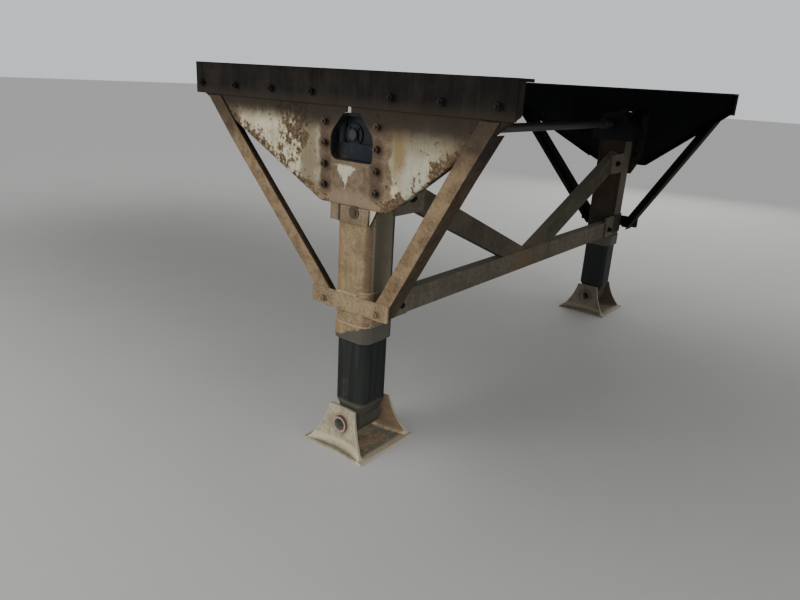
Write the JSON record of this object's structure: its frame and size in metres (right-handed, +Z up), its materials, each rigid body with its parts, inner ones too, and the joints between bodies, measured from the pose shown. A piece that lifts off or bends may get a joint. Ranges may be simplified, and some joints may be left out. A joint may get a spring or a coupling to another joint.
{
  "type": "semi trailer landing gear",
  "caption": "Pair of telescoping landing legs for a semi trailer, on braced wing plates, with sand shoes, a cross shaft and a hand crank.",
  "frame": {"origin": "on the bolting plane under the trailer's frame, midway between the two legs' axes", "axes": "+X towards the trailer's front, +Y to its left, +Z up, square to the bolting plane"},
  "size_m": [1.247, 2.5845, 1.2],
  "materials": {
    "wing_plate": "dirty cream paint with rust",
    "top_angle": "dark brown rusty paint",
    "outer_tube": "dusty rust brown",
    "gearbox": "black, greasy",
    "brace": "dusty rust brown",
    "cross_brace": "dark brown grey",
    "inner_tube": "satin black",
    "shoe_pin": "reddish brown steel",
    "sand_shoe": "dusty tan with rust",
    "shaft": "dull grey",
    "crank": "worn black",
    "crank_grip": "worn steel"
  },
  "bodies": {
    "frame": {"right_wing_plate": "wing_plate", "right_top_angle": "top_angle", "right_outer_tube": "outer_tube", "right_mounting_flange": "outer_tube", "right_gearbox": "gearbox", "right_lower_bracket": "outer_tube", "right_front_brace": "brace", "right_rear_brace": "brace", "right_upper_clip": "cross_brace", "right_lower_clip": "cross_brace", "right_diagonal": "cross_brace", "left_wing_plate": "wing_plate", "left_top_angle": "top_angle", "left_outer_tube": "outer_tube", "left_mounting_flange": "outer_tube", "left_gearbox": "gearbox", "left_lower_bracket": "outer_tube", "left_front_brace": "brace", "left_rear_brace": "brace", "left_upper_clip": "cross_brace", "left_lower_clip": "cross_brace", "left_diagonal": "cross_brace", "cross_bar": "cross_brace"},
    "right_leg": {"right_inner_tube": "inner_tube", "right_shoe_pin": "shoe_pin"},
    "left_leg": {"left_inner_tube": "inner_tube", "left_shoe_pin": "shoe_pin"},
    "right_shoe": {"right_sand_shoe": "sand_shoe"},
    "left_shoe": {"left_sand_shoe": "sand_shoe"},
    "crank": {"input_shaft": "shaft", "crank_arm": "crank", "crank_grip": "crank_grip"},
    "cross_shaft": {"cross_shaft": "shaft"}
  },
  "joints": [
    {"name": "right_leg_slide", "type": "slide", "parent": "frame", "child": "right_leg", "axis": [0, 0, 1], "range_m": [-0.195, 0.215]},
    {"name": "left_leg_slide", "type": "slide", "parent": "frame", "child": "left_leg", "axis": [0, 0, 1], "range_m": [-0.195, 0.215]},
    {"name": "right_shoe_tilt", "type": "hinge", "parent": "right_leg", "child": "right_shoe", "pos_m": [0, -0.994, -1.113], "axis": [0, 1, 0], "range_deg": [-12, 12]},
    {"name": "left_shoe_tilt", "type": "hinge", "parent": "left_leg", "child": "left_shoe", "pos_m": [0, 0.994, -1.113], "axis": [0, 1, 0], "range_deg": [-12, 12]},
    {"name": "crank_turn", "type": "hinge", "parent": "frame", "child": "crank", "pos_m": [-0.02, 1.299, -0.18], "axis": [0, 1, 0], "continuous": true},
    {"name": "cross_shaft_turn", "type": "hinge", "parent": "frame", "child": "cross_shaft", "pos_m": [-0.02, 0, -0.18], "axis": [0, 1, 0], "continuous": true}
  ],
  "couplings": [
    {"joint": "left_leg_slide", "follows": "right_leg_slide", "ratio": 1},
    {"joint": "cross_shaft_turn", "follows": "crank_turn", "ratio": 1}
  ]
}
